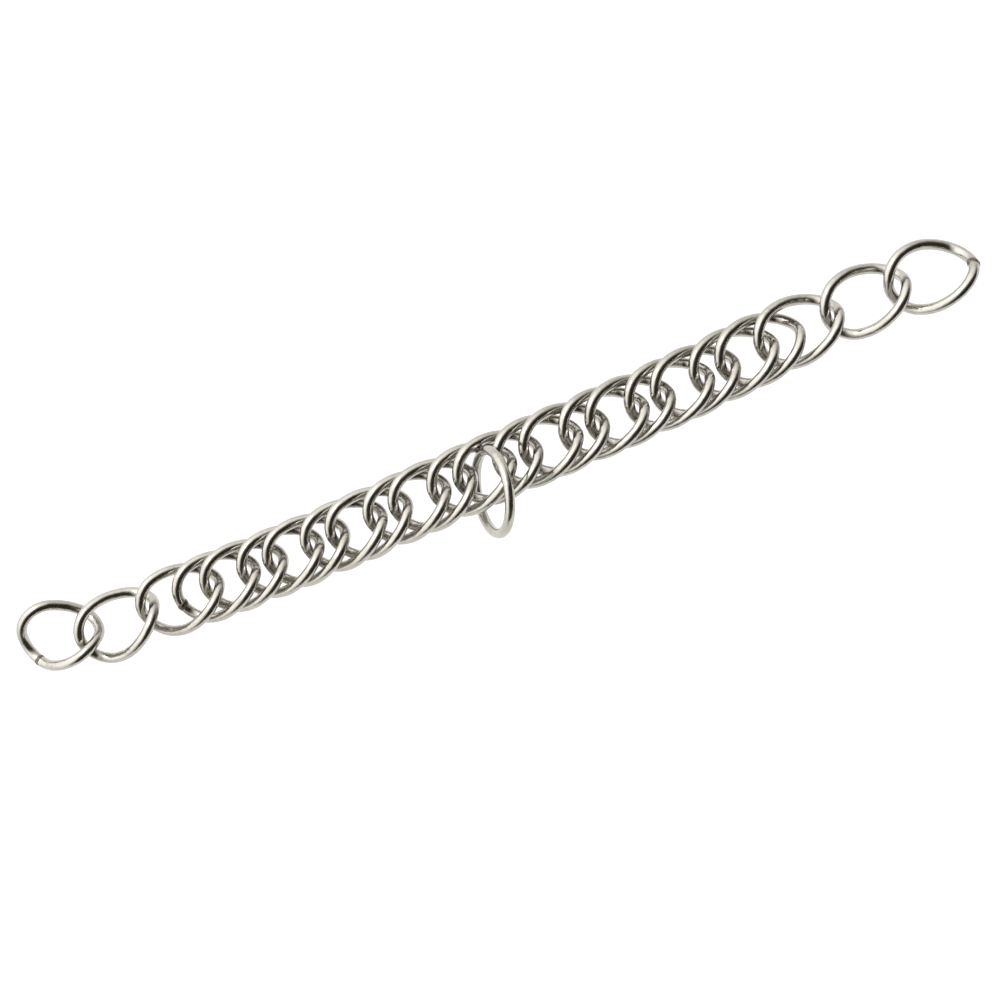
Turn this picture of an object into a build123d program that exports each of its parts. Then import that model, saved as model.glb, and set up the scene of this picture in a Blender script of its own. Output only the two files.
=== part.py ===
from build123d import *
import os
from math import atan, cos, degrees, pi, radians, sin

# Double-link curb chain laid out flat, millimetres, +Z up, chain along X.
# The chain is symmetrical in make: a closed single ring and a single link at each end, and between
# them a doubled run in which every link passes through its two neighbours on either side.
# A loose round ring hangs on the lower wires at the middle.

# Wire link: a flat oval of round wire twisted about its long axis, so that it lies flat in a row.
WIRE_DIAMETER = 2.55
LINK_HALF_LENGTH = 9.75
LINK_HALF_WIDTH = 7.1
LINK_TWIST = 45.0
END_REACH = 5.8

# The end rings are the same wire, the left one pulled rounder and the right one a little wider.
ROUND_RING_HALF_LENGTH = 9.0
ROUND_RING_END_REACH = 8.6
WIDE_RING_HALF_WIDTH = 7.4

# Spacing of link centres along the chain. In the doubled run the steps are long and short by turns,
# and more nearly even over the first links on the left.
UNEVEN_STEPS = [9.3, 6.9, 9.4, 6.6]
LONG_STEP = 9.8
SHORT_STEP = 6.5
DOUBLED_LINKS = 20
LEFT_RING_STEP = 14.5
LEFT_SINGLE_STEP = 16.1
RIGHT_SINGLE_STEP = 16.4
RIGHT_RING_STEP = 15.5

# How the chain lies: a shallow bow in plan, a slight roll of odd against even links, and a low
# rise in the middle, where the chain rides over the underside of the loose ring.
BOW_RISE = 2.3
BOW_HALF_SPAN = 80.0
NESTING_ROLL = 1.5
HUMP_HEIGHT = 4.2
HUMP_HALF_SPAN = 60.0
HUMP_OFFSET = -3.0

# The two single links at each end lie off the bow: distance across the chain, and turn in plan.
END_LAY = {1: (6.1, -24.0), 2: (2.8, 7.0), 23: (2.3, 4.0), 24: (1.25, -8.0)}

# Loose ring, placed from the centre of the middle link.
FLY_RING_RADIUS = 9.6
FLY_RING_WIRE = 2.4
FLY_RING_X = -3.4
FLY_RING_Y = -5.25
FLY_RING_TILT = 60.6
FLY_RING_TURN = -8.5

WIRE_RADIUS = WIRE_DIAMETER / 2
MIDDLE_LINK = 13
LINK_COUNT = DOUBLED_LINKS + 4


def quarter_path(half_length, half_width, reach):
    """Two tangent arcs from the end of a link to the middle of its side, with the twist."""
    end = Vector(half_length, 0, 0)
    end_direction = Vector(0, 1, 0).rotate(Axis.X, -LINK_TWIST)
    side = Vector(0, half_width, 0)
    climb = LINK_HALF_WIDTH * radians(LINK_TWIST) / LINK_HALF_LENGTH
    side_direction = Vector(-1, 0, climb).normalized()
    gap = side - end - end_direction * reach
    side_reach = (gap.dot(gap) - reach**2) / (2 * (gap.dot(side_direction) + reach))
    end_corner = end + end_direction * reach
    side_corner = side - side_direction * side_reach
    joint = (end_corner * side_reach + side_corner * reach) / (reach + side_reach)
    joint_direction = (side_corner - end_corner).normalized()
    return [
        Edge.make_tangent_arc(end, end_direction, joint),
        Edge.make_tangent_arc(joint, joint_direction, side),
    ]


def wire_segment(arc):
    """Round wire along one arc, as a piece of a torus."""
    start = arc.position_at(0)
    direction = arc.tangent_at(0)
    normal = (start - arc.arc_center).cross(direction).normalized()
    section = Face(Wire(Edge.make_circle(WIRE_RADIUS, Plane(origin=start, z_dir=direction))))
    angle = degrees(arc.length / arc.radius)
    return Solid.revolve(section, angle, Axis(arc.arc_center, normal))


def wire_link(left_half_length, left_reach, half_width):
    """One closed twisted link centred on the origin, long axis along X."""
    right = quarter_path(LINK_HALF_LENGTH, half_width, END_REACH)
    left = quarter_path(left_half_length, half_width, left_reach)
    arcs = right + [arc.rotate(Axis.X, 180) for arc in right]
    arcs += [arc.rotate(Axis.Y, 180) for arc in left]
    arcs += [arc.rotate(Axis.Z, 180) for arc in left]
    segments = [wire_segment(arc) for arc in arcs]
    length = sum(arc.length for arc in arcs)
    link = segments[0].fuse(*segments[1:])
    print("link volume", round(link.volume, 2), "section x length", round(pi * WIRE_RADIUS**2 * length, 2))
    return link


def link_steps():
    """Distances between neighbouring link centres, from the left ring to the right ring."""
    even_count = DOUBLED_LINKS - 1 - len(UNEVEN_STEPS)
    regular = [LONG_STEP if index % 2 == 0 else SHORT_STEP for index in range(even_count)]
    left = [LEFT_RING_STEP, LEFT_SINGLE_STEP]
    return left + UNEVEN_STEPS + regular + [RIGHT_SINGLE_STEP, RIGHT_RING_STEP]


def link_centres():
    """Positions of the link centres along X, with the middle link at zero."""
    centres = [0.0]
    for step in link_steps():
        centres.append(centres[-1] + step)
    middle = centres[MIDDLE_LINK - 1]
    return [centre - middle for centre in centres]


def link_name(number):
    names = {
        1: "left_end_ring",
        2: "left_single_link",
        MIDDLE_LINK: "middle_link",
        LINK_COUNT - 1: "right_single_link",
        LINK_COUNT: "right_end_ring",
    }
    return names.get(number, f"chain_link_{number:02d}")


def link_location(number, x):
    """Where a link lies, and how it is turned, on the bowed and humped run of the chain."""
    across = (x - HUMP_OFFSET) / HUMP_HALF_SPAN
    height = 0.0
    slope = 0.0
    if abs(across) < 1:
        height = HUMP_HEIGHT * cos(pi * across / 2) ** 2
        slope = -HUMP_HEIGHT * pi / (2 * HUMP_HALF_SPAN) * sin(pi * across)
    y = BOW_RISE * (x / BOW_HALF_SPAN) ** 2
    turn = degrees(atan(2 * BOW_RISE * x / BOW_HALF_SPAN**2))
    roll = 0.0
    if 2 < number < LINK_COUNT - 1:
        roll = NESTING_ROLL if number % 2 else -NESTING_ROLL
    if number in END_LAY:
        y, turn = END_LAY[number]
    pitch = -degrees(atan(slope))
    return Pos(x, y, height) * Rot(0, 0, turn) * Rot(0, pitch, 0) * Rot(roll, 0, 0)


def fly_ring(floor_height):
    """The loose ring, tipped up on its edge and standing on the surface under the chain."""
    tilt = radians(FLY_RING_TILT)
    height = floor_height + FLY_RING_RADIUS * sin(tilt) + FLY_RING_WIRE / 2
    place = Pos(FLY_RING_X, FLY_RING_Y, height) * Rot(0, 0, FLY_RING_TURN) * Rot(0, -FLY_RING_TILT, 0)
    return place * Solid.make_torus(FLY_RING_RADIUS, FLY_RING_WIRE / 2)


def build():
    plain_link = wire_link(LINK_HALF_LENGTH, END_REACH, LINK_HALF_WIDTH)
    round_ring = wire_link(ROUND_RING_HALF_LENGTH, ROUND_RING_END_REACH, LINK_HALF_WIDTH)
    wide_ring = wire_link(LINK_HALF_LENGTH, END_REACH, WIDE_RING_HALF_WIDTH)
    end_rings = {1: round_ring, LINK_COUNT: wide_ring}
    shapes = {}
    for number, x in enumerate(link_centres(), start=1):
        shapes[link_name(number)] = link_location(number, x) * end_rings.get(number, plain_link)
    floor_height = min(shape.bounding_box().min.Z for shape in shapes.values())
    shapes["fly_ring"] = fly_ring(floor_height)
    boxes = [shape.bounding_box() for shape in shapes.values()]
    low = [min(tuple(box.min)[side] for box in boxes) for side in range(3)]
    high = [max(tuple(box.max)[side] for box in boxes) for side in range(3)]
    middle = Vector((low[0] + high[0]) / 2, (low[1] + high[1]) / 2, low[2])
    print("shift to origin", tuple(middle), "size", [high[side] - low[side] for side in range(3)])
    return {name: Pos(-middle.X, -middle.Y, -middle.Z) * shape for name, shape in shapes.items()}


os.makedirs("parts", exist_ok=True)
for name, shape in build().items():
    export_step(shape, f"parts/{name}.step")
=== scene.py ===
import math

import bpy
from mathutils import Matrix, Vector


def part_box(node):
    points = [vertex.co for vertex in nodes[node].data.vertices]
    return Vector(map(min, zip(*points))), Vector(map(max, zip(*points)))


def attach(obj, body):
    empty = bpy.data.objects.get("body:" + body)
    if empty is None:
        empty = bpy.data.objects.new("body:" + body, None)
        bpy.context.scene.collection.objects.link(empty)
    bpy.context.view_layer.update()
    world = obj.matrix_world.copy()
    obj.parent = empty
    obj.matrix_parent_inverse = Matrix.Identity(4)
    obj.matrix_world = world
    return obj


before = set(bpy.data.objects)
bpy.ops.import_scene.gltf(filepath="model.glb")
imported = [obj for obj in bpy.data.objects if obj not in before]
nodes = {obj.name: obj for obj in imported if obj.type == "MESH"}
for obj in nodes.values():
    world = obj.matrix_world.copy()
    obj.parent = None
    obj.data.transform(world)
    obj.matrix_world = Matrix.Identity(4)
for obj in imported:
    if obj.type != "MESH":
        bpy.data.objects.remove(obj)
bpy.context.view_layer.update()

MM = 0.001

# Steel colours, linear: the polished wire's two tones and its rubbed patches, then the weld beads.
STEEL_LIGHT = (0.49, 0.475, 0.44)
STEEL_DEEP = (0.41, 0.393, 0.355)
STEEL_RUBBED = (0.31, 0.293, 0.25)
WELD_DARK = (0.06, 0.05, 0.04)
WELD_LIGHT = (0.22, 0.20, 0.17)

# Weld beads: the wire they sit on, how finely they are cut, how deep their rims and their hidden
# core go into it, and how far they lean. The wire is found by cutting the link with a narrow wedge,
# and its direction from cuts TANGENT_REACH degrees to either side.
WIRE_RADIUS = 1.275 * MM
BEAD_TURNS = 48
BEAD_STEPS = 9
BEAD_EDGE_DEPTH = 0.03 * MM
BEAD_CORE_DEPTH = 0.3 * MM
BEAD_CORE_SPREAD = 0.7
BEAD_LEAN = 0.25
WEDGE_COSINE = math.cos(math.radians(3))
TANGENT_REACH = 12

# link, azimuth of the weld seen from above, height, half length, and a seed for its lumps
WELDS = [
    ("left_end_ring", 203, 0.10 * MM, 0.55 * MM, 1.0),
    ("chain_link_04", 184, 0.12 * MM, 0.7 * MM, 2.6),
    ("right_end_ring", -9, 0.2 * MM, 0.9 * MM, 4.1),
]

# The floor lies far enough down for the chain to curl downwards to its limits above it.
FLOOR_HALF = 30.0
FLOOR_DROP = 120 * MM
FLOOR_GLOW = 0.86
FLOOR_LIGHT = (0.27, 0.27, 0.268)
FLOOR_GREY = (0.25, 0.25, 0.248)

# The camera leans TILT from straight down, towards LEAN in plan, and the chain runs across the
# picture turned by TURN.
DISTANCE = 500 * MM
TILT = math.radians(12.66)
LEAN = math.radians(113.4)
TURN = math.radians(23.08)
LENS = 78.11
SENSOR_WIDTH = 36.0
NEAR_CLIP, FAR_CLIP = 0.01, 200.0
TARGET = Vector((0, 0, 4 * MM))
SHIFT_RIGHT = 1.11 * MM
SHIFT_UP = -5.87 * MM

# The key light and the tent round it. Azimuths run anticlockwise from +X. Each fade is the pair of
# cosines, away from the tent's bright side or its opening, between which its brightness changes.
KEY_AZIMUTH, KEY_ELEVATION = 125, 58
KEY_DISTANCE = 0.9
KEY_SIDE = 0.36
KEY_POWER = 3.0
KEY_COLOUR = (1.0, 0.985, 0.96)
BRIGHT_SIDE = (140, 50)
OPENING = (302, 12)
TENT_LIT = (2.1, 2.08, 2.03)
TENT_SHADED = (0.55, 0.54, 0.52)
TENT_OUTSIDE = (0.045, 0.038, 0.031)
BRIGHT_FADE = (-0.2, 0.85)
OPENING_FADE = (-0.02, 0.5)


# ---------------------------------------------------------------- node helpers

def new_material(name):
    """An empty node material and its Principled shader."""
    material = bpy.data.materials.new(name)
    material.use_nodes = True
    tree = material.node_tree
    tree.nodes.clear()
    output = tree.nodes.new("ShaderNodeOutputMaterial")
    shader = tree.nodes.new("ShaderNodeBsdfPrincipled")
    tree.links.new(shader.outputs["BSDF"], output.inputs["Surface"])
    return material, tree, shader


def object_coords(tree):
    return tree.nodes.new("ShaderNodeTexCoord").outputs["Object"]


def noise(tree, coords, scale, detail=3.0, roughness=0.55, distortion=0.0):
    node = tree.nodes.new("ShaderNodeTexNoise")
    node.inputs["Scale"].default_value = scale
    node.inputs["Detail"].default_value = detail
    node.inputs["Roughness"].default_value = roughness
    node.inputs["Distortion"].default_value = distortion
    tree.links.new(coords, node.inputs["Vector"])
    return node.outputs["Fac"]


def remap(tree, value, low, high, to_low=0.0, to_high=1.0):
    node = tree.nodes.new("ShaderNodeMapRange")
    node.inputs["From Min"].default_value = low
    node.inputs["From Max"].default_value = high
    node.inputs["To Min"].default_value = to_low
    node.inputs["To Max"].default_value = to_high
    tree.links.new(value, node.inputs["Value"])
    return node.outputs["Result"]


def add(tree, first, second):
    node = tree.nodes.new("ShaderNodeMath")
    node.operation = "ADD"
    tree.links.new(first, node.inputs[0])
    tree.links.new(second, node.inputs[1])
    return node.outputs["Value"]


def mix_colour(tree, factor, first, second):
    """A colour between two, each of them a tuple or a socket."""
    # A Mix node has sockets for each type of value: its colours are inputs 6 and 7 and output 2.
    node = tree.nodes.new("ShaderNodeMix")
    node.data_type = "RGBA"
    tree.links.new(factor, node.inputs["Factor"])
    for socket, value in ((node.inputs[6], first), (node.inputs[7], second)):
        if isinstance(value, tuple):
            socket.default_value = (*value, 1.0)
        else:
            tree.links.new(value, socket)
    return node.outputs[2]


def bump(tree, height, distance, strength, under=None):
    node = tree.nodes.new("ShaderNodeBump")
    node.inputs["Distance"].default_value = distance
    node.inputs["Strength"].default_value = strength
    tree.links.new(height, node.inputs["Height"])
    if under is not None:
        tree.links.new(under, node.inputs["Normal"])
    return node.outputs["Normal"]


# ---------------------------------------------------------------- materials

def polished_wire():
    """Polished steel wire: faintly wavy, with hairline scratches, pits and dull rubbed patches."""
    material, tree, shader = new_material("polished_wire")
    coords = object_coords(tree)
    tone = noise(tree, coords, 140.0, 2.0)
    patches = noise(tree, coords, 620.0, 4.0, 0.6)
    hairlines = noise(tree, coords, 4200.0, 2.0, 0.7, 2.5)
    waviness = noise(tree, coords, 420.0, 1.0)
    pits = noise(tree, coords, 2600.0, 3.0, 0.75)

    clean = mix_colour(tree, remap(tree, tone, 0.3, 0.7), STEEL_LIGHT, STEEL_DEEP)
    rubbed = remap(tree, patches, 0.55, 0.75, 0.0, 0.6)
    worn = mix_colour(tree, rubbed, clean, STEEL_RUBBED)
    tree.links.new(worn, shader.inputs["Base Color"])

    fine = remap(tree, hairlines, 0.42, 0.62, 0.0, 0.07)
    dull = remap(tree, patches, 0.35, 0.75, 0.09, 0.24)
    tree.links.new(add(tree, fine, dull), shader.inputs["Roughness"])
    shader.inputs["Metallic"].default_value = 1.0

    wavy = bump(tree, waviness, 0.22 * MM, 0.5)
    scratched = bump(tree, hairlines, 0.012 * MM, 0.6, wavy)
    pitted = bump(tree, remap(tree, pits, 0.62, 0.8, 1.0, 0.0), 0.02 * MM, 0.7, scratched)
    tree.links.new(pitted, shader.inputs["Normal"])
    return material


def weld_scale():
    """The dull, browned bead where a link's wire ends were welded together."""
    material, tree, shader = new_material("weld_scale")
    coords = object_coords(tree)
    mottle = noise(tree, coords, 1500.0, 4.0, 0.65)
    lumps = noise(tree, coords, 900.0, 2.0)
    grit = noise(tree, coords, 5200.0, 3.0, 0.7)

    colour = mix_colour(tree, remap(tree, mottle, 0.35, 0.65), WELD_DARK, WELD_LIGHT)
    tree.links.new(colour, shader.inputs["Base Color"])
    tree.links.new(remap(tree, grit, 0.3, 0.7, 0.28, 0.5), shader.inputs["Roughness"])
    shader.inputs["Metallic"].default_value = 1.0
    uneven = bump(tree, lumps, 0.2 * MM, 0.6)
    tree.links.new(bump(tree, grit, 0.03 * MM, 0.6, uneven), shader.inputs["Normal"])
    return material


def pale_floor():
    """A matt floor that glows a little, so that it comes out white and shows next to no shadow."""
    material, tree, shader = new_material("pale_floor")
    grain = noise(tree, object_coords(tree), 900.0, 3.0)
    colour = mix_colour(tree, remap(tree, grain, 0.3, 0.7), FLOOR_LIGHT, FLOOR_GREY)
    tree.links.new(colour, shader.inputs["Base Color"])
    shader.inputs["Roughness"].default_value = 0.9
    shader.inputs["Emission Color"].default_value = (1.0, 1.0, 1.0, 1.0)
    shader.inputs["Emission Strength"].default_value = FLOOR_GLOW
    return material


# ---------------------------------------------------------------- weld beads

def wedge_middle(name, azimuth):
    """Middle of the wire where a narrow wedge, seen from above, cuts the link at that azimuth."""
    low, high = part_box(name)
    middle = (low + high) / 2
    out = Vector((math.cos(math.radians(azimuth)), math.sin(math.radians(azimuth))))
    cut = []
    for vertex in nodes[name].data.vertices:
        flat = (vertex.co - middle).to_2d()
        if flat.normalized().dot(out) > WEDGE_COSINE:
            cut.append(vertex.co)
    return Vector([(min(axis) + max(axis)) / 2 for axis in zip(*cut)])


def weld_bead(name, azimuth, height, half_length, seed, material):
    """A lumpy collar round a link's wire, where the two ends were butt welded."""
    centre = wedge_middle(name, azimuth)
    ahead = wedge_middle(name, azimuth + TANGENT_REACH)
    behind = wedge_middle(name, azimuth - TANGENT_REACH)
    along = (ahead - behind).normalized()
    side = along.orthogonal().normalized()
    over = along.cross(side)

    vertices = []
    for turn in range(BEAD_TURNS):
        angle = 2 * math.pi * turn / BEAD_TURNS
        spoke = side * math.cos(angle) + over * math.sin(angle)
        # two waves round the wire make the bead's height uneven
        lump = 1 + 0.35 * math.sin(2 * angle + seed) + 0.25 * math.sin(5 * angle + 2.3 * seed)
        lean = half_length * BEAD_LEAN * math.sin(angle + seed)
        for step in range(BEAD_STEPS):
            across = 2 * step / (BEAD_STEPS - 1) - 1
            rise = (height * lump + BEAD_EDGE_DEPTH) * (1 - across * across)
            radius = WIRE_RADIUS - BEAD_EDGE_DEPTH + rise
            vertices.append(centre + spoke * radius + along * (across * half_length + lean))
        for across in (BEAD_CORE_SPREAD, -BEAD_CORE_SPREAD):
            radius = WIRE_RADIUS - BEAD_CORE_DEPTH
            vertices.append(centre + spoke * radius + along * (across * half_length + lean))

    row = BEAD_STEPS + 2
    faces = []
    for turn in range(BEAD_TURNS):
        here = turn * row
        after = (turn + 1) % BEAD_TURNS * row
        for step in range(row):
            other = (step + 1) % row
            faces.append((here + step, after + step, after + other, here + other))

    mesh = bpy.data.meshes.new(name + "_weld")
    mesh.from_pydata(vertices, [], faces)
    mesh.shade_smooth()
    mesh.materials.append(material)
    piece = bpy.data.objects.new(name + "_weld", mesh)
    bpy.context.scene.collection.objects.link(piece)
    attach(piece, name)


# ---------------------------------------------------------------- floor, camera and light

def compass(azimuth, elevation):
    """The unit vector towards an azimuth and elevation in degrees."""
    a, e = math.radians(azimuth), math.radians(elevation)
    return Vector((math.cos(a) * math.cos(e), math.sin(a) * math.cos(e), math.sin(e)))


def add_floor():
    mesh = bpy.data.meshes.new("floor")
    corners = [(x * FLOOR_HALF, y * FLOOR_HALF, 0) for x, y in ((-1, -1), (1, -1), (1, 1), (-1, 1))]
    mesh.from_pydata(corners, [], [(0, 1, 2, 3)])
    mesh.materials.append(pale_floor())
    floor = bpy.data.objects.new("floor", mesh)
    floor.location.z = -FLOOR_DROP
    bpy.context.scene.collection.objects.link(floor)


def add_camera():
    lean_x, lean_y = math.cos(LEAN), math.sin(LEAN)
    towards = Vector((-math.sin(TILT) * lean_x, -math.sin(TILT) * lean_y, math.cos(TILT)))
    level = Vector((0, 0, 1)).rotation_difference(towards).to_matrix()
    flat_right = level @ Vector((1, 0, 0))
    flat_up = level @ Vector((0, 1, 0))
    right = flat_right * math.cos(TURN) - flat_up * math.sin(TURN)
    up = flat_right * math.sin(TURN) + flat_up * math.cos(TURN)

    data = bpy.data.cameras.new("camera")
    data.lens = LENS
    data.sensor_width = SENSOR_WIDTH
    data.clip_start = NEAR_CLIP
    data.clip_end = FAR_CLIP
    camera = bpy.data.objects.new("camera", data)
    place = Matrix((right, up, towards)).transposed().to_4x4()
    place.translation = TARGET + towards * DISTANCE + right * SHIFT_RIGHT + up * SHIFT_UP
    camera.matrix_world = place
    bpy.context.scene.collection.objects.link(camera)
    bpy.context.scene.camera = camera


def add_key_light():
    """A soft square light aimed at the chain."""
    light = bpy.data.lights.new("key", "AREA")
    light.shape = "SQUARE"
    light.size = KEY_SIDE
    light.energy = KEY_POWER
    light.color = KEY_COLOUR
    holder = bpy.data.objects.new("key", light)
    aim = compass(KEY_AZIMUTH, KEY_ELEVATION)
    holder.location = aim * KEY_DISTANCE
    holder.rotation_mode = "QUATERNION"
    holder.rotation_quaternion = aim.to_track_quat("Z", "Y")
    bpy.context.scene.collection.objects.link(holder)


def facing(tree, direction, azimuth, elevation):
    """Cosine of the angle between a direction in the world and the given one."""
    dot = tree.nodes.new("ShaderNodeVectorMath")
    dot.operation = "DOT_PRODUCT"
    dot.inputs[1].default_value = compass(azimuth, elevation)
    tree.links.new(direction, dot.inputs[0])
    return dot.outputs["Value"]


def light_tent():
    """A white tent, brightest on its lit side, open towards the photographer, where it is dark."""
    tent = bpy.data.worlds.new("studio")
    tent.use_nodes = True
    tree = tent.node_tree
    direction = tree.nodes.new("ShaderNodeTexCoord").outputs["Generated"]
    brightness = remap(tree, facing(tree, direction, *BRIGHT_SIDE), *BRIGHT_FADE)
    inside = mix_colour(tree, brightness, TENT_SHADED, TENT_LIT)
    edge = remap(tree, facing(tree, direction, *OPENING), *OPENING_FADE)
    background = tree.nodes["Background"]
    background.inputs["Strength"].default_value = 1.0
    tree.links.new(mix_colour(tree, edge, inside, TENT_OUTSIDE), background.inputs["Color"])
    return tent


# ---------------------------------------------------------------- the scene

wire = polished_wire()
for node in nodes.values():
    node.data.materials.clear()
    node.data.materials.append(wire)

weld = weld_scale()
for placing in WELDS:
    weld_bead(*placing, weld)

add_floor()
add_camera()
add_key_light()
bpy.context.scene.world = light_tent()
bpy.context.scene.view_settings.view_transform = "Standard"
